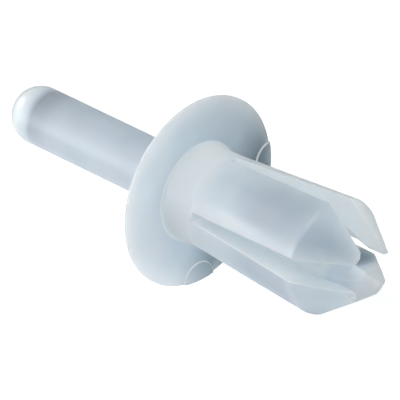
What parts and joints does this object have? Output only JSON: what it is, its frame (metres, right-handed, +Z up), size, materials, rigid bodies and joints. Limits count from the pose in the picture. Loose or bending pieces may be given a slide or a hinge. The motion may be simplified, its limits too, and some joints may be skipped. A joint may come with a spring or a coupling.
{
  "type": "push rivet",
  "caption": "Split-shank push rivet in natural nylon: flanged body with flared, slotted legs and a domed drive pin standing out of the head, ready to be pushed home.",
  "frame": {"origin": "middle of the footprint, on the surface that the rivet lies on", "axes": "+X level, along the rivet from the pin's dome to the leg tips; +Z up. The rivet lies on its head's rim and on two legs, so its own axis dips 12.5 degrees below +X towards the tips"},
  "size_m": [0.0306, 0.0126, 0.0125],
  "materials": {
    "natural_nylon": "satin, milky natural nylon"
  },
  "bodies": {
    "body": {"body": "natural_nylon"},
    "drive_pin": {"drive_pin": "natural_nylon"}
  },
  "joints": [
    {"name": "pin_drive", "type": "slide", "parent": "body", "child": "drive_pin", "axis": [0.9764, 0, -0.2157], "range_m": [0, 0.01295]}
  ]
}
